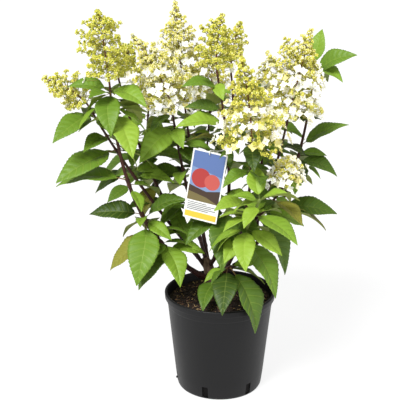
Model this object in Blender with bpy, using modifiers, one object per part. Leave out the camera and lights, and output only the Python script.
"""A panicle hydrangea in its nursery pot, in metres, +Z up, with the pot's underside on the origin.

Every shoot is one smooth route from the woody crown to the tip of its flower head. It is cut into a
bare stem, a leafy twig and a flower head, which stand a hair apart. Compass angles are seen from
above and count from +X towards +Y, so 270 degrees faces the front.
"""

import math
import random
from collections import namedtuple

import bmesh
import bpy
from mathutils import Vector
from mathutils.bvhtree import BVHTree

GAP = 0.0003
SEED = 11

POT_HEIGHT = 0.204
POT_TOP_RADIUS = 0.1125
POT_BASE_RADIUS = 0.08775
POT_WALL = 0.0021
POT_FLOOR = 0.0028
POT_LIP_HEIGHT = 0.0125
POT_LIP_STEP = 0.0032
POT_EDGE = 0.0012
POT_STEPS = 40
SLOT_COUNT = 6
SLOT_WIDTH = 0.012
SLOT_HEIGHT = 0.025
SLOT_REACH = 0.014
SLOT_FIRST_COMPASS = 250

SOIL_TOP = 0.186
SOIL_BUMP = 0.0035
SOIL_LEVEL_RADIUS = 0.036
SOIL_RINGS = (0.0, 0.022, SOIL_LEVEL_RADIUS, 0.060, 0.084)
SOIL_STEPS = 20

CROWN_FOOT = Vector((-0.002, -0.002, SOIL_TOP + GAP))
CROWN_TOP = Vector((-0.030, 0.014, 0.270))
CROWN_RADIUS = 0.0150
CROWN_FLARE = 1.5
CROWN_TAPER = 0.68
CROWN_RINGS = 7
CROWN_SPARE = 0.25

CROWN_SIDES_LEVEL = 2
STEM_SIDES_LEVEL = 1
STEM_POINTS = 9
HEAD_POINTS = 5
STEM_NECK_RADIUS = 0.0020
HEAD_TIP_RADIUS = 0.0007
HEAD_STRAIGHT_SHARE = 0.35

LEAF_BREADTH = 0.47
LEAF_THICKNESS = 0.015
LEAF_ARCH = 0.09
LEAF_FOLD = 0.20
# Each station of a leaf: share of its length, share of its breadth, share of its thickness.
LEAF_STATIONS = (
    (0.0, 0.030, 0.8), (0.13, 0.045, 1.0), (0.24, 0.66, 1.0), (0.47, 1.0, 1.0), (0.76, 0.60, 0.9))
LEAF_BLADE_FROM = 1
CLEARANCE = 0.0016
PARTNER_TURNS = (170, 190)
PARTNER_PITCHES = (-32, -8)
PARTNER_ROLLS = (-22, 22)

# Tufts and florets spring from the head's axis between two shares of its height, each a golden turn on.
TUFT_SIDES = 4
TUFT_ROOTS = (0.16, 0.94)
TUFT_TAPER = 1.30
TUFT_SHORTEST = 0.006
TUFT_REACH_SPREAD = (0.92, 1.08)
TUFT_GIRTH_LOW = 0.0135
TUFT_GIRTH_HIGH = 0.0060
TUFT_GIRTH_SPREAD = (0.90, 1.10)
TUFT_END_SHARE = 0.4
TUFT_NECK_SHARE = 0.35
TUFT_SWELL_SHARE = 0.72
TUFT_NECK_RADIUS = 0.0012
TUFT_RISE = math.radians(28)
AHEAD_SHARE = 0.06
FLORET_ROOTS = (0.10, 0.40)
FLORET_FIRST_TURN = 128.75
FLORET_REACHES = (1.05, 1.35)
FLORET_TILTS = (0.2, 0.9)
FLORET_RADIUS = 0.0125
FLORET_NOTCH = 0.46
FLORET_THICKNESS = 0.0018
PEDICEL_RADIUS = 0.0009
GOLDEN_TURN = 137.5

LABEL_TOP_LEFT = Vector((-0.052, -0.080, 0.523))
LABEL_TOP_RIGHT = Vector((0.011, -0.101, 0.513))
LABEL_LEAN = Vector((-0.15, 0.0, -1.0))
LABEL_HEIGHT = 0.135
LABEL_THICKNESS = 0.0008
LABEL_CORNER = 0.0015
LABEL_HOLE_RADIUS = 0.0032
LABEL_HOLE_DROP = 0.008
TIE_RADIUS = 0.0009
TIE_STEM_RADIUS = 0.0040
TIE_STAND_OFF = 0.005
TIE_OVER = 0.004

# A shoot's foot is its height on the crown, or its share of the route of the shoot that it forks from.
# The leafy twig begins at the share "leafy" of the way to the neck. "head" is the flower head's
# greatest radius, its number of bud tufts and its number of open florets.
Shoot = namedtuple("Shoot", "name parent foot elbow neck tip radius leafy head leaves")

# One row a leaf: share of the way to the neck, compass, pitch, roll to the leaf's right, length, and
# the length of the leaf across the stem from it, which is 0 where that one has dropped.
SHOOTS = (
    Shoot("tall_left", "crown", 0.222, (-0.190, -0.065, 0.325), (-0.206, -0.060, 0.633),
          (-0.222, -0.070, 0.774), 0.0060, 0.25, (0.049, 17, 1), (
              (0.99, 323, -12, 20, 0.090, 0.0), (0.98, 275, -40, 0, 0.100, 0.090),
              (0.90, 295, -32, 0, 0.120, 0.100), (0.99, 168, 6, -30, 0.080, 0.0),
              (0.92, 322, -36, 0, 0.080, 0.0),
              (0.62, 178, -2, -8, 0.140, 0.0), (0.60, 232, -18, -20, 0.065, 0.090),
              (0.46, 178, 0, -32, 0.105, 0.0), (0.42, 258, -46, 0, 0.130, 0.110),
              (0.44, 350, 30, 20, 0.095, 0.0),
              (0.36, 190, -38, -25, 0.115, 0.0), (0.31, 299, -35, 0, 0.105, 0.100),
              (0.28, 250, -31, 0, 0.110, 0.0))),
    Shoot("far_left", "crown", 0.243, (-0.168, 0.001, 0.424), (-0.249, -0.030, 0.589),
          (-0.330, -0.050, 0.648), 0.0042, 0.45, (0.037, 11, 0), (
              (0.97, 234, -17, -15, 0.115, 0.090), (0.84, 242, -8, -20, 0.080, 0.080),
              (0.76, 216, -17, -14, 0.140, 0.090), (0.62, 128, -18, 0, 0.100, 0.0),
              (0.60, 352, -4, 20, 0.080, 0.0))),
    Shoot("back_left", "crown", 0.231, (-0.156, 0.072, 0.413), (-0.200, 0.060, 0.625),
          (-0.171, 0.070, 0.690), 0.0040, 0.36, (0.030, 8, 0), (
              (0.90, 70, -6, 0, 0.090, 0.0), (0.73, 336, 9, 20, 0.085, 0.0),
              (0.68, 254, -30, 0, 0.058, 0.090), (0.66, 335, -6, 15, 0.100, 0.0),
              (0.55, 95, -18, 0, 0.110, 0.0), (0.50, 258, -42, 0, 0.078, 0.0),
              (0.39, 305, -38, 0, 0.110, 0.090))),
    Shoot("inner_left", "crown", 0.238, (-0.073, 0.037, 0.408), (-0.094, 0.000, 0.577),
          (-0.168, -0.020, 0.724), 0.0042, 0.36, (0.050, 15, 5), (
              (0.98, 226, -24, 0, 0.065, 0.080), (0.90, 228, -28, -35, 0.110, 0.0),
              (0.81, 222, -4, -20, 0.085, 0.0), (0.79, 335, -4, 10, 0.080, 0.0),
              (0.61, 172, 6, -25, 0.075, 0.0), (0.53, 100, -20, 0, 0.110, 0.0),
              (0.42, 130, -28, 0, 0.100, 0.080))),
    Shoot("tall_back", "crown", 0.243, (-0.052, 0.085, 0.405), (-0.070, 0.112, 0.552),
          (-0.090, 0.120, 0.774), 0.0046, 0.52, (0.050, 17, 6), (
              (0.97, 46, 10, 0, 0.080, 0.0), (0.86, 188, 4, -20, 0.070, 0.095),
              (0.80, 120, -14, 0, 0.105, 0.0), (0.64, 40, -20, 0, 0.100, 0.110))),
    Shoot("middle", "crown", 0.250, (0.045, -0.080, 0.375), (-0.008, -0.040, 0.651),
          (0.000, -0.040, 0.763), 0.0046, 0.30, (0.040, 13, 1), (
              (0.94, 208, 10, -25, 0.080, 0.0), (0.84, 176, 6, -25, 0.075, 0.060),
              (0.79, 204, 3, -25, 0.100, 0.0), (0.74, 15, 2, 20, 0.055, 0.0),
              (0.70, 172, 2, 0, 0.075, 0.080),
              (0.38, 262, -42, 0, 0.135, 0.110), (0.35, 222, -26, -10, 0.105, 0.0))),
    Shoot("back_middle", "tall_back", 0.38, (0.045, 0.075, 0.430), (0.022, 0.100, 0.632),
          (0.040, 0.100, 0.735), 0.0028, 0.35, (0.028, 8, 0), (
              (0.84, 26, 12, 0, 0.085, 0.085), (0.62, 78, -16, 0, 0.100, 0.080),
              (0.50, 252, -36, 0, 0.080, 0.0))),
    Shoot("front", "crown", 0.213, (0.060, -0.092, 0.348), (0.053, -0.116, 0.545),
          (0.030, -0.120, 0.705), 0.0050, 0.50, (0.060, 18, 9), (
              (0.99, 272, -34, 0, 0.068, 0.080), (0.97, 318, -26, 0, 0.060, 0.0),
              (0.84, 214, -20, -20, 0.068, 0.080), (0.65, 200, 0, -25, 0.075, 0.0),
              (0.62, 20, -12, 20, 0.085, 0.0), (0.56, 120, -20, 0, 0.085, 0.0))),
    Shoot("right", "crown", 0.237, (0.077, -0.001, 0.289), (0.131, 0.020, 0.557),
          (0.171, 0.020, 0.729), 0.0044, 0.38, (0.060, 16, 7), (
              (0.97, 20, 4, 15, 0.080, 0.080), (0.85, 318, -10, 10, 0.060, 0.090),
              (0.70, 80, -14, 0, 0.095, 0.0), (0.52, 302, -34, 0, 0.070, 0.095),
              (0.43, 316, -52, 0, 0.130, 0.0))),
    Shoot("far_right", "crown", 0.225, (0.163, 0.100, 0.280), (0.191, 0.106, 0.650),
          None, 0.0046, 0.36, None, (
              (0.99, 60, 70, 0, 0.078, 0.062), (0.96, 330, 28, 45, 0.100, 0.085),
              (0.67, 342, 29, 30, 0.110, 0.0), (0.63, 262, -42, 0, 0.085, 0.095),
              (0.61, 340, -14, 25, 0.090, 0.0), (0.55, 88, -20, 0, 0.100, 0.0),
              (0.42, 352, -6, 25, 0.120, 0.090), (0.39, 334, -9, -25, 0.112, 0.0))),
    Shoot("front_right", "front", 0.46, (0.085, -0.088, 0.400), (0.115, -0.100, 0.455),
          (0.121, -0.100, 0.510), 0.0024, 0.0, (0.030, 7, 5), (
              (0.72, 312, -22, 0, 0.082, 0.075), (0.48, 35, -22, 20, 0.090, 0.070))),
    Shoot("front_young", "front", 0.36, (0.043, -0.145, 0.375), (0.066, -0.170, 0.451),
          None, 0.0024, 0.0, None, (
              (0.99, 96, 45, 0, 0.072, 0.0), (0.97, 328, 26, 10, 0.062, 0.0),
              (0.98, 190, 14, -25, 0.052, 0.0), (0.92, 240, -28, 0, 0.060, 0.0),
              (0.78, 315, -14, 0, 0.110, 0.080), (0.55, 266, -41, 0, 0.090, 0.080),
              (0.30, 314, -44, 0, 0.132, 0.0))),
    Shoot("low_front", "crown", 0.205, (-0.010, -0.040, 0.256), (0.020, -0.075, 0.286),
          None, 0.0030, 0.0, None, (
              (0.96, 319, -60, 0, 0.140, 0.0), (0.88, 286, -34, 0, 0.105, 0.0),
              (0.35, 247, -23, 0, 0.085, 0.0), (0.60, 272, -44, 0, 0.042, 0.0))),
    Shoot("rear_left", "back_left", 0.30, (-0.165, 0.145, 0.410), (-0.150, 0.190, 0.540),
          (-0.160, 0.215, 0.665), 0.0028, 0.30, (0.040, 9, 2), (
              (0.95, 20, -8, 0, 0.095, 0.100), (0.80, 112, -18, 0, 0.110, 0.0),
              (0.64, 190, -22, 0, 0.115, 0.090), (0.48, 100, -30, 0, 0.115, 0.0))),
    Shoot("rear_middle", "tall_back", 0.26, (-0.030, 0.165, 0.420), (-0.018, 0.195, 0.545),
          (-0.016, 0.205, 0.672), 0.0028, 0.34, (0.040, 9, 2), (
              (0.95, 40, -6, 0, 0.095, 0.095), (0.80, 128, -18, 0, 0.105, 0.0),
              (0.64, 55, -24, 0, 0.115, 0.0), (0.48, 150, -32, 0, 0.110, 0.0))),
    Shoot("rear_right", "far_right", 0.24, (0.085, 0.145, 0.400), (0.100, 0.170, 0.525),
          (0.092, 0.185, 0.640), 0.0028, 0.32, (0.040, 9, 2), (
              (0.95, 150, -6, 0, 0.090, 0.095), (0.80, 60, -16, 0, 0.110, 0.095),
              (0.64, 130, -24, 0, 0.110, 0.0), (0.48, 40, -30, 0, 0.115, 0.0))),
)

# For each head: the share of its height up to which it is at its widest, and by how much its tufts on
# the left are longer near the tip.
HEAD_SHAPES = {
    "tall_left": (0.55, 0.0), "far_left": (0.45, 0.0), "back_left": (0.50, 0.0), "inner_left": (0.30, -0.50),
    "tall_back": (0.50, 0.0), "middle": (0.45, 0.30), "back_middle": (0.50, 0.0), "front": (0.10, 0.0),
    "right": (0.45, 0.60), "front_right": (0.60, 0.0), "rear_left": (0.45, 0.0), "rear_middle": (0.45, 0.0),
    "rear_right": (0.45, 0.0),
}


def clear_scene():
    for old in list(bpy.data.objects):
        bpy.data.objects.remove(old)


def collection_named(name, hidden=False):
    made = bpy.data.collections.new(name)
    bpy.context.scene.collection.children.link(made)
    made.hide_render = hidden
    return made


def material(name, colour, roughness):
    made = bpy.data.materials.new(name)
    made.use_nodes = True
    shader = made.node_tree.nodes["Principled BSDF"]
    shader.inputs["Base Color"].default_value = (*colour, 1.0)
    shader.inputs["Roughness"].default_value = roughness
    shader.inputs["Metallic"].default_value = 0.0
    made.diffuse_color = (*colour, 1.0)
    return made


def object_of(name, mesh, collection):
    made = bpy.data.objects.new(name, mesh)
    collection.objects.link(made)
    return made


def mesh_of(name, bm):
    bmesh.ops.recalc_face_normals(bm, faces=bm.faces)
    mesh = bpy.data.meshes.new(name)
    bm.to_mesh(mesh)
    bm.free()
    return mesh


def baked(thing):
    """A mesh of the object as its modifiers leave it; the object itself is removed."""
    bpy.context.view_layer.update()
    graph = bpy.context.evaluated_depsgraph_get()
    mesh = bpy.data.meshes.new_from_object(thing.evaluated_get(graph))
    bm = bmesh.new()
    bm.from_mesh(mesh)
    bm.transform(thing.matrix_world)
    bmesh.ops.remove_doubles(bm, verts=bm.verts, dist=1e-6)
    bm.to_mesh(mesh)
    bm.free()
    bpy.data.objects.remove(thing)
    return mesh


def islands(bm):
    """The vertex sets of the mesh's separate bodies."""
    waiting = set(bm.verts)
    found = []
    while waiting:
        edge = [waiting.pop()]
        body = set(edge)
        while edge:
            near = edge.pop()
            for link in near.link_edges:
                other = link.other_vert(near)
                if other in waiting:
                    waiting.discard(other)
                    body.add(other)
                    edge.append(other)
        found.append(body)
    return found


def keep_largest(mesh):
    """Drops the scraps and sealed hollows that a Boolean leaves."""
    bm = bmesh.new()
    bm.from_mesh(mesh)
    bodies = sorted(islands(bm), key=len)
    for scrap in bodies[:-1]:
        bmesh.ops.delete(bm, geom=list(scrap), context="VERTS")
    bm.to_mesh(mesh)
    bm.free()
    return mesh


def is_closed(mesh):
    bm = bmesh.new()
    bm.from_mesh(mesh)
    closed = len(bm.faces) > 0 and all(edge.is_manifold for edge in bm.edges)
    bm.free()
    return closed


def joined(name, body, pieces, operation="UNION"):
    """The body mesh with the pieces added to it, or cut from it, by one Boolean."""
    for solver in ("EXACT", "MANIFOLD"):
        group = bpy.data.collections.new(name + "_pieces")
        bpy.context.scene.collection.children.link(group)
        for number, piece in enumerate(pieces):
            object_of(f"{name}_piece_{number}", piece.copy(), group)
        base = object_of(name + "_body", body.copy(), bpy.context.scene.collection)
        fuse = base.modifiers.new("fuse", "BOOLEAN")
        fuse.operation = operation
        fuse.operand_type = "COLLECTION"
        fuse.collection = group
        fuse.solver = solver
        result = keep_largest(baked(base))
        for helper in list(group.objects):
            bpy.data.objects.remove(helper)
        bpy.data.collections.remove(group)
        if is_closed(result):
            return result
    raise ValueError(f"{name} didn't fuse into one closed body")


def tube(name, points, radii, sides_level=STEM_SIDES_LEVEL):
    """A round limb through the points, as thick at each as its radius says, with flat ends."""
    curve = bpy.data.curves.new(name, "CURVE")
    curve.dimensions = "3D"
    curve.bevel_depth = 1.0
    curve.bevel_resolution = sides_level
    curve.use_fill_caps = True
    spline = curve.splines.new("POLY")
    spline.points.add(len(points) - 1)
    for station, point, radius in zip(spline.points, points, radii):
        station.co = (*point, 1.0)
        station.radius = radius
    return baked(object_of(name, curve, bpy.context.scene.collection))


def loft(bm, sections):
    """Skins over rings of points; a section of one point is an apex."""
    rings = [[bm.verts.new(point) for point in section] for section in sections]
    for low, high in zip(rings, rings[1:]):
        count = max(len(low), len(high))
        for i in range(count):
            j = (i + 1) % count
            if len(low) == 1:
                bm.faces.new((low[0], high[i], high[j]))
            elif len(high) == 1:
                bm.faces.new((low[i], low[j], high[0]))
            else:
                bm.faces.new((low[i], low[j], high[j], high[i]))
    for end in (rings[0], rings[-1]):
        if len(end) > 1:
            bm.faces.new(end)


def lofted(name, sections):
    bm = bmesh.new()
    loft(bm, sections)
    bmesh.ops.triangulate(bm, faces=bm.faces)
    return mesh_of(name, bm)


def between(pair, share):
    return pair[0] + (pair[1] - pair[0]) * share


def bezier(start, control, end, count):
    found = []
    for step in range(count + 1):
        t = step / count
        found.append(start * (1 - t) ** 2 + control * (2 * t * (1 - t)) + end * t ** 2)
    return found


def lengths_along(points):
    total = [0.0]
    for near, far in zip(points, points[1:]):
        total.append(total[-1] + (far - near).length)
    return total


def point_at(points, distance):
    run = lengths_along(points)
    for i in range(len(points) - 1):
        if distance <= run[i + 1] or i == len(points) - 2:
            share = (distance - run[i]) / (run[i + 1] - run[i])
            return points[i].lerp(points[i + 1], share)


def stretch(points, start, end):
    """The part of the route between two distances along it."""
    run = lengths_along(points)
    inner = [p for p, d in zip(points, run) if start < d < end]
    return [point_at(points, start), *inner, point_at(points, end)]


class Route:
    """A shoot's way from its foot through its neck to the tip of its flower head."""

    def __init__(self, shoot, foot):
        neck = Vector(shoot.neck)
        stem = bezier(foot, Vector(shoot.elbow), neck, STEM_POINTS)
        self.neck_distance = lengths_along(stem)[-1]
        self.points = stem
        self.foot_radius = shoot.radius
        if shoot.tip:
            tip = Vector(shoot.tip)
            onward = (neck - stem[-2]).normalized() * (tip - neck).length * HEAD_STRAIGHT_SHARE
            self.points = stem + bezier(neck, neck + onward, tip, HEAD_POINTS)[1:]
        self.length = lengths_along(self.points)[-1]

    def at(self, share):
        return point_at(self.points, share * self.neck_distance)

    def radius_at(self, distance):
        if distance <= self.neck_distance + GAP:
            share = min(1.0, distance / self.neck_distance)
            return self.foot_radius + (STEM_NECK_RADIUS - self.foot_radius) * share
        share = (distance - self.neck_distance) / (self.length - self.neck_distance)
        return STEM_NECK_RADIUS + (HEAD_TIP_RADIUS - STEM_NECK_RADIUS) * share

    def limb(self, name, start, end, swell=0.0):
        points = stretch(self.points, start, end)
        distances = [start + d for d in lengths_along(points)]
        return tube(name, points, [self.radius_at(d) + swell for d in distances])


def turned(name, profile, steps):
    """A closed solid of revolution from an outline that runs from the axis round to the axis."""
    mesh = bpy.data.meshes.new(name)
    mesh.from_pydata([(x, 0.0, z) for x, z in profile], [(i, i + 1) for i in range(len(profile) - 1)], [])
    spun = object_of(name, mesh, bpy.context.scene.collection)
    screw = spun.modifiers.new("turn", "SCREW")
    screw.steps = steps
    screw.render_steps = steps
    screw.use_merge_vertices = True
    screw.merge_threshold = 0.0001
    return baked(spun)


def pot_outside(z):
    """The pot's outer radius under the lip."""
    top = POT_TOP_RADIUS - POT_LIP_STEP
    return POT_BASE_RADIUS + (top - POT_BASE_RADIUS) * z / POT_HEIGHT


def round_shading(mesh, degrees=35):
    mesh.shade_smooth()
    mesh.set_sharp_from_angle(angle=math.radians(degrees))


def build_pot():
    lip_foot = POT_HEIGHT - POT_LIP_HEIGHT
    outline = (
        (0.0, POT_FLOOR),
        (pot_outside(0.0) - POT_WALL - POT_EDGE, POT_FLOOR),
        (pot_outside(0.0) - POT_WALL, POT_FLOOR + POT_EDGE),
        (pot_outside(POT_HEIGHT) - POT_WALL, POT_HEIGHT),
        (POT_TOP_RADIUS - POT_EDGE, POT_HEIGHT),
        (POT_TOP_RADIUS, POT_HEIGHT - POT_EDGE),
        (POT_TOP_RADIUS - POT_EDGE / 2, lip_foot),
        (pot_outside(lip_foot), lip_foot - POT_EDGE),
        (pot_outside(POT_EDGE * 2), POT_EDGE * 2),
        (pot_outside(0.0) - POT_EDGE * 2, 0.0),
        (0.0, 0.0),
    )
    shell = turned("pot_shell", outline, POT_STEPS)
    slots = []
    for number in range(SLOT_COUNT):
        compass = math.radians(SLOT_FIRST_COMPASS + 360 / SLOT_COUNT * number)
        bpy.ops.mesh.primitive_cube_add(size=1.0)
        slot = bpy.context.object
        slot.scale = (SLOT_REACH, SLOT_WIDTH, SLOT_HEIGHT)
        middle = POT_BASE_RADIUS + POT_WALL / 2
        slot.location = (
            middle * math.cos(compass),
            middle * math.sin(compass),
            POT_FLOOR + SLOT_HEIGHT / 2,
        )
        slot.rotation_euler = (0.0, 0.0, compass)
        slots.append(baked(slot))
    mesh = joined("pot", shell, slots, "DIFFERENCE")
    round_shading(mesh)
    return mesh


def build_soil():
    side = POT_WALL + GAP * 2
    outline = [(radius, SOIL_TOP) for radius in SOIL_RINGS]
    outline += [
        (pot_outside(SOIL_TOP) - side, SOIL_TOP),
        (pot_outside(POT_FLOOR) - side - POT_EDGE, POT_FLOOR + GAP),
        (0.0, POT_FLOOR + GAP),
    ]
    mesh = turned("soil_body", outline, SOIL_STEPS)
    chance = random.Random(SEED)
    for vertex in mesh.vertices:
        loose = math.hypot(vertex.co.x, vertex.co.y) > SOIL_LEVEL_RADIUS + GAP
        if loose and vertex.co.z > SOIL_TOP - GAP:
            vertex.co.z += SOIL_BUMP * chance.uniform(-1.0, 1.0)
    round_shading(mesh)
    return mesh


def crown_point(height):
    share = (height - CROWN_FOOT.z) / (CROWN_TOP.z - CROWN_FOOT.z)
    return CROWN_FOOT.lerp(CROWN_TOP, share)


def build_crown(swell=0.0):
    """The short old wood, flared to a flat cut on the soil and leaning back to the left."""
    below = CROWN_FOOT + (CROWN_FOOT - CROWN_TOP) * CROWN_SPARE
    points = []
    radii = []
    for ring in range(CROWN_RINGS):
        share = ring / (CROWN_RINGS - 1)
        points.append(below.lerp(CROWN_TOP, share))
        flare = 1 + (CROWN_FLARE - 1) * (1 - share) ** 3
        radii.append(CROWN_RADIUS * flare * (1 + (CROWN_TAPER - 1) * share) + swell)
    mesh = tube("crown", points, radii, CROWN_SIDES_LEVEL)
    bm = bmesh.new()
    bm.from_mesh(mesh)
    everything = list(bm.verts) + list(bm.edges) + list(bm.faces)
    bmesh.ops.bisect_plane(bm, geom=everything, dist=1e-6, plane_co=CROWN_FOOT,
                           plane_no=(0.0, 0.0, 1.0), clear_inner=True)
    bmesh.ops.holes_fill(bm, edges=[e for e in bm.edges if e.is_boundary])
    bmesh.ops.triangulate(bm, faces=bm.faces)
    bm.to_mesh(mesh)
    bm.free()
    return mesh


def axes_of(compass, pitch, roll):
    """The way a leaf points, the way its upper face looks, and its right."""
    heading = Vector((math.cos(math.radians(compass)), math.sin(math.radians(compass)), 0.0))
    rise = math.radians(pitch)
    along = heading * math.cos(rise) + Vector((0.0, 0.0, math.sin(rise)))
    up = heading * -math.sin(rise) + Vector((0.0, 0.0, math.cos(rise)))
    tilt = math.radians(roll)
    up = up * math.cos(tilt) + along.cross(up) * math.sin(tilt)
    return along, up, along.cross(up)


def leaf_sections(root, compass, pitch, roll, length, swell=0.0, first=0):
    """Rings of four points: the two edges, raised in a shallow fold, and the rib's two faces."""
    along, up, side = axes_of(compass, pitch, roll)
    sections = []
    for share, breadth, thickness in LEAF_STATIONS[first:]:
        rib = root + along * (length * share) + up * (length * LEAF_ARCH * 4 * share * (1 - share))
        half = length * LEAF_BREADTH * breadth / 2 + swell
        lift = up * (half * LEAF_FOLD)
        thick = up * (length * LEAF_THICKNESS * thickness / 2 + swell)
        sections.append([rib + side * half + lift, rib + thick, rib - side * half + lift, rib - thick])
    sections.append([root + along * (length + swell)])
    return sections


class Space:
    """Everything that is already in its place, for testing whether a leaf is clear of it."""

    def __init__(self):
        self.things = []

    def add(self, owner, kind, mesh):
        points = [v.co.copy() for v in mesh.vertices]
        tree = BVHTree.FromPolygons(points, [tuple(p.vertices) for p in mesh.polygons])
        low = Vector([min(p[i] for p in points) for i in range(3)])
        high = Vector([max(p[i] for p in points) for i in range(3)])
        self.things.append((owner, kind, tree, low, high))

    def touched(self, mesh, skip):
        points = [v.co.copy() for v in mesh.vertices]
        tree = BVHTree.FromPolygons(points, [tuple(p.vertices) for p in mesh.polygons])
        low = [min(p[i] for p in points) for i in range(3)]
        high = [max(p[i] for p in points) for i in range(3)]
        for owner, kind, other, other_low, other_high in self.things:
            if skip(owner, kind):
                continue
            if any(high[i] < other_low[i] or low[i] > other_high[i] for i in range(3)):
                continue
            if tree.overlap(other):
                return owner, kind
        return None


def leaf_is_clear(space, name, spot):
    whole = lofted("test", leaf_sections(*spot, CLEARANCE))
    blade = lofted("test", leaf_sections(*spot, CLEARANCE, LEAF_BLADE_FROM))
    hit = space.touched(whole, lambda owner, kind: owner == name and kind in ("twig", "leaf"))
    hit = hit or space.touched(blade, lambda owner, kind: owner != name or kind != "leaf")
    bpy.data.meshes.remove(whole)
    bpy.data.meshes.remove(blade)
    return not hit


# A leaf that isn't clear where it should be is turned, then dropped or raised, then made smaller.
TRIES = [
    (shrink, drop, turn)
    for shrink in (1.0, 0.82)
    for drop in (0, -12, 12)
    for turn in (0, 12, -12, 24, -24, 36, -36)
]


def placed_leaf(space, name, root, compass, pitch, roll, length):
    """The leaf's mesh at the first clear try, or nothing."""
    for shrink, drop, turn in TRIES:
        spot = (root, compass + turn, pitch + drop, roll, length * shrink)
        if leaf_is_clear(space, name, spot):
            return lofted("leaf", leaf_sections(*spot))
    return None


def tuft_sections(start, direction, length, radius, swell=0.0):
    """A branchlet that widens into a tuft of buds."""
    level = direction.orthogonal().normalized()
    other = direction.cross(level)
    sections = [[start]]
    for share, girth in ((TUFT_NECK_SHARE, TUFT_NECK_RADIUS), (TUFT_SWELL_SHARE, radius)):
        centre = start + direction * (length * share)
        ring = []
        for i in range(TUFT_SIDES):
            angle = math.tau * i / TUFT_SIDES
            ring.append(centre + (level * math.cos(angle) + other * math.sin(angle)) * (girth + swell))
        sections.append(ring)
    sections.append([start + direction * (length + radius * TUFT_END_SHARE + swell)])
    return sections


def floret_sections(centre, facing, swell=0.0):
    """Four open petals as one thin star."""
    level = facing.orthogonal().normalized()
    other = facing.cross(level)
    ring = []
    for i in range(8):
        angle = math.tau * i / 8
        radius = FLORET_RADIUS * (1.0 if i % 2 == 0 else FLORET_NOTCH) + swell
        ring.append(centre + (level * math.cos(angle) + other * math.sin(angle)) * radius)
    half = facing * (FLORET_THICKNESS / 2 + swell)
    return [[centre - half], ring, [centre + half]]


def pedicel_sections(start, end):
    direction = (end - start).normalized()
    level = direction.orthogonal().normalized() * PEDICEL_RADIUS
    other = direction.cross(level)
    rings = []
    for centre in (start, end):
        rings.append([centre + level, centre - level * 0.5 + other, centre - level * 0.5 - other])
    return rings


def is_clear(space, name, sections):
    """Whether a shape of the named shoot touches nothing of the others."""
    mesh = lofted("test", sections)
    hit = space.touched(mesh, lambda owner, kind: owner == name)
    bpy.data.meshes.remove(mesh)
    return not hit


def build_head(space, shoot, route, chance):
    """The axis of a flower head with its bud tufts, widest below, and its open florets lowest."""
    radius, tufts, florets = shoot.head
    shoulder, skew = HEAD_SHAPES[shoot.name]
    start = route.neck_distance + GAP
    axis = route.limb("axis_" + shoot.name, start, route.length)
    head_length = route.length - start
    pieces = []
    for number in range(tufts):
        share = (number + 0.5) / tufts
        height = head_length * between(TUFT_ROOTS, share)
        root = point_at(route.points, start + height)
        ahead = point_at(route.points, min(route.length, start + height + head_length * AHEAD_SHARE))
        up = (ahead - root).normalized()
        spin = math.radians(GOLDEN_TURN * number)
        level = up.orthogonal().normalized()
        outward = level * math.cos(spin) + up.cross(level) * math.sin(spin)
        direction = (outward * math.cos(TUFT_RISE) + up * math.sin(TUFT_RISE)).normalized()
        full = min(1.0, (1.0 - share) / (1.0 - shoulder)) ** TUFT_TAPER
        reach = radius * full * (1.0 - skew * share * outward.x) * chance.uniform(*TUFT_REACH_SPREAD)
        reach = max(TUFT_SHORTEST, reach)
        girth = between((TUFT_GIRTH_LOW, TUFT_GIRTH_HIGH), share) * chance.uniform(*TUFT_GIRTH_SPREAD)
        if is_clear(space, shoot.name, tuft_sections(root, direction, reach, girth, CLEARANCE)):
            pieces.append(lofted("tuft", tuft_sections(root, direction, reach, girth)))
    for number in range(florets):
        share = (number + 0.5) / florets
        root = point_at(route.points, start + head_length * between(FLORET_ROOTS, share))
        spin = math.radians(GOLDEN_TURN * number + FLORET_FIRST_TURN)
        outward = Vector((math.cos(spin), math.sin(spin), 0.0))
        centre = root + outward * (radius * chance.uniform(*FLORET_REACHES))
        facing = (outward + Vector((0.0, 0.0, chance.uniform(*FLORET_TILTS)))).normalized()
        if is_clear(space, shoot.name, floret_sections(centre, facing, CLEARANCE)):
            pieces.append(lofted("pedicel", pedicel_sections(root, centre)))
            pieces.append(lofted("floret", floret_sections(centre, facing)))
    return joined("flower_" + shoot.name, axis, pieces)


def label_frame():
    """The label's top left corner, its ways across, down and to the front, and its width."""
    across = LABEL_TOP_RIGHT - LABEL_TOP_LEFT
    width = across.length
    across.normalize()
    down = (LABEL_LEAN - across * LABEL_LEAN.dot(across)).normalized()
    return LABEL_TOP_LEFT, across, down, down.cross(across), width


def label_hole():
    corner, across, down, front, width = label_frame()
    return corner + across * (width / 2) + down * LABEL_HOLE_DROP


def build_label():
    """A thin card with rounded corners, punched for its tie."""
    corner, across, down, front, width = label_frame()
    bm = bmesh.new()
    bmesh.ops.create_cube(bm, size=1.0)
    bmesh.ops.scale(bm, verts=bm.verts, vec=(width, LABEL_HEIGHT, LABEL_THICKNESS))
    upright = [e for e in bm.edges if abs(e.verts[0].co.z - e.verts[1].co.z) > LABEL_THICKNESS / 2]
    bmesh.ops.bevel(bm, geom=upright, offset=LABEL_CORNER, segments=3, profile=0.5,
                    affect="EDGES", material=-1)
    middle = corner + across * (width / 2) + down * (LABEL_HEIGHT / 2)
    for vertex in bm.verts:
        flat = vertex.co.copy()
        vertex.co = middle + across * flat.x + down * flat.y + front * flat.z
    card = mesh_of("label_card", bm)
    punch = tube("punch", [label_hole() - front * 0.01, label_hole() + front * 0.01],
                 [LABEL_HOLE_RADIUS] * 2)
    return joined("label", card, [punch], "DIFFERENCE")


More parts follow.
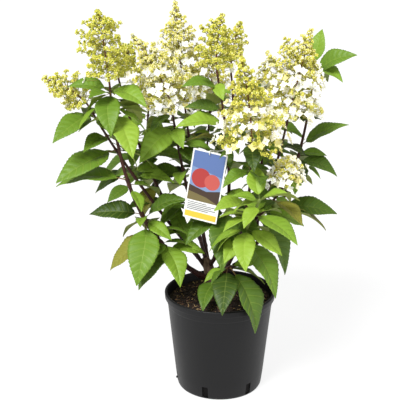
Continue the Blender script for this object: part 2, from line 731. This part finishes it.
def build_tie(route):
    """A thin loop: round the stem, through the label's hole and back over the label's top edge."""
    front = label_frame()[3]
    hole = label_hole()
    height = hole.z + LABEL_HOLE_RADIUS - TIE_RADIUS - 2 * GAP
    below = max((p for p in route.points if p.z <= height), key=lambda p: p.z)
    above = min((p for p in route.points if p.z > height), key=lambda p: p.z)
    stem = below.lerp(above, (height - below.z) / (above.z - below.z))
    out = Vector((hole.x - stem.x, hole.y - stem.y, 0.0))
    reach = out.length
    out.normalize()
    side = Vector((0.0, 0.0, 1.0)).cross(out)
    lifted = Vector((0.0, 0.0, LABEL_HOLE_DROP - LABEL_HOLE_RADIUS + TIE_OVER))
    through = stem + out * reach
    halfway = stem + out * (reach * 0.5)
    apart = side * (TIE_STEM_RADIUS * 0.8)
    points = []
    for degrees in (100, 140, 180, 220, 260):
        angle = math.radians(degrees)
        points.append(stem + (out * math.cos(angle) + side * math.sin(angle)) * TIE_STEM_RADIUS)
    points += [
        halfway - apart,
        through - front * TIE_STAND_OFF,
        through + front * (TIE_STAND_OFF * 0.6),
        through + front * (TIE_STAND_OFF * 0.8) + lifted * 0.5,
        through + lifted,
        through - front * TIE_STAND_OFF + lifted * 0.8 + side * 0.002,
        halfway + apart + lifted * 0.3,
    ]
    curve = bpy.data.curves.new("tie", "CURVE")
    curve.dimensions = "3D"
    curve.bevel_depth = TIE_RADIUS
    curve.bevel_resolution = 0
    spline = curve.splines.new("POLY")
    spline.points.add(len(points) - 1)
    spline.use_cyclic_u = True
    for station, point in zip(spline.points, points):
        station.co = (*point, 1.0)
    return baked(object_of("tie", curve, bpy.context.scene.collection))


def build_all():
    clear_scene()
    plant = collection_named("panicle_hydrangea")
    looks = {
        "pot": material("pot_plastic", (0.035, 0.035, 0.037), 0.55),
        "soil": material("potting_soil", (0.022, 0.015, 0.010), 0.95),
        "bark": material("old_wood", (0.09, 0.05, 0.035), 0.85),
        "stem": material("dark_stem", (0.075, 0.018, 0.018), 0.60),
        "leaf": material("leaf", (0.10, 0.24, 0.04), 0.55),
        "flower": material("flower_head", (0.62, 0.60, 0.28), 0.65),
        "label": material("label_card", (0.75, 0.75, 0.72), 0.45),
        "tie": material("white_tie", (0.85, 0.85, 0.85), 0.40),
    }
    space = Space()
    finished = []

    def finish(name, mesh, look, owner=None, kind="part"):
        mesh.materials.clear()
        mesh.materials.append(looks[look])
        finished.append(object_of(name, mesh, plant))
        space.add(owner or name, kind, mesh)

    finish("pot", build_pot(), "pot")
    finish("soil", build_soil(), "soil")
    finish("crown", build_crown(), "bark")
    cutters = {"crown": build_crown(GAP)}
    routes = {}
    twigs = {}
    leaves = {}
    for shoot in SHOOTS:
        if shoot.parent == "crown":
            foot = crown_point(shoot.foot)
        else:
            foot = routes[shoot.parent].at(shoot.foot)
        route = Route(shoot, foot)
        routes[shoot.name] = route
        leafy = shoot.leafy * route.neck_distance
        seat = [cutters[shoot.parent]]
        if leafy > 0:
            stem = joined("stem_" + shoot.name, route.limb("stem", 0.0, leafy - GAP), seat, "DIFFERENCE")
            finish("stem_" + shoot.name, stem, "stem")
            cutters[shoot.name] = route.limb("seat_" + shoot.name, 0.0, leafy, GAP)
        twig = route.limb("twig", leafy, route.neck_distance)
        if leafy == 0:
            twig = joined("twig_" + shoot.name, twig, seat, "DIFFERENCE")
        twigs[shoot.name] = twig
        leaves[shoot.name] = []
        space.add(shoot.name, "twig", twig)
    finish("label", build_label(), "label")
    finish("label_tie", build_tie(routes["middle"]), "tie")
    for shoot in SHOOTS:
        if shoot.head:
            chance = random.Random(f"{SEED} {shoot.name}")
            head = build_head(space, shoot, routes[shoot.name], chance)
            finish("flower_" + shoot.name, head, "flower", shoot.name, "head")

    def add_leaf(shoot, share, compass, pitch, roll, length):
        root = routes[shoot.name].at(share)
        mesh = placed_leaf(space, shoot.name, root, compass, pitch, roll, length)
        if mesh is None:
            print("no room:", shoot.name, share, compass)
            return
        leaves[shoot.name].append(mesh)
        space.add(shoot.name, "leaf", mesh)

    for shoot in SHOOTS:
        for share, compass, pitch, roll, length, partner in shoot.leaves:
            add_leaf(shoot, share, compass, pitch, roll, length)
    for shoot in SHOOTS:
        chance = random.Random(f"{SEED} partners {shoot.name}")
        for share, compass, pitch, roll, length, partner in shoot.leaves:
            turn = chance.uniform(*PARTNER_TURNS)
            lean = chance.uniform(*PARTNER_PITCHES)
            twist = chance.uniform(*PARTNER_ROLLS)
            if partner:
                add_leaf(shoot, share, compass + turn, lean, twist, partner)
    for shoot in SHOOTS:
        name = "leaves_" + shoot.name
        mesh = joined(name, twigs[shoot.name], leaves[shoot.name])
        mesh.materials.clear()
        mesh.materials.append(looks["leaf"])
        finished.append(object_of(name, mesh, plant))


build_all()
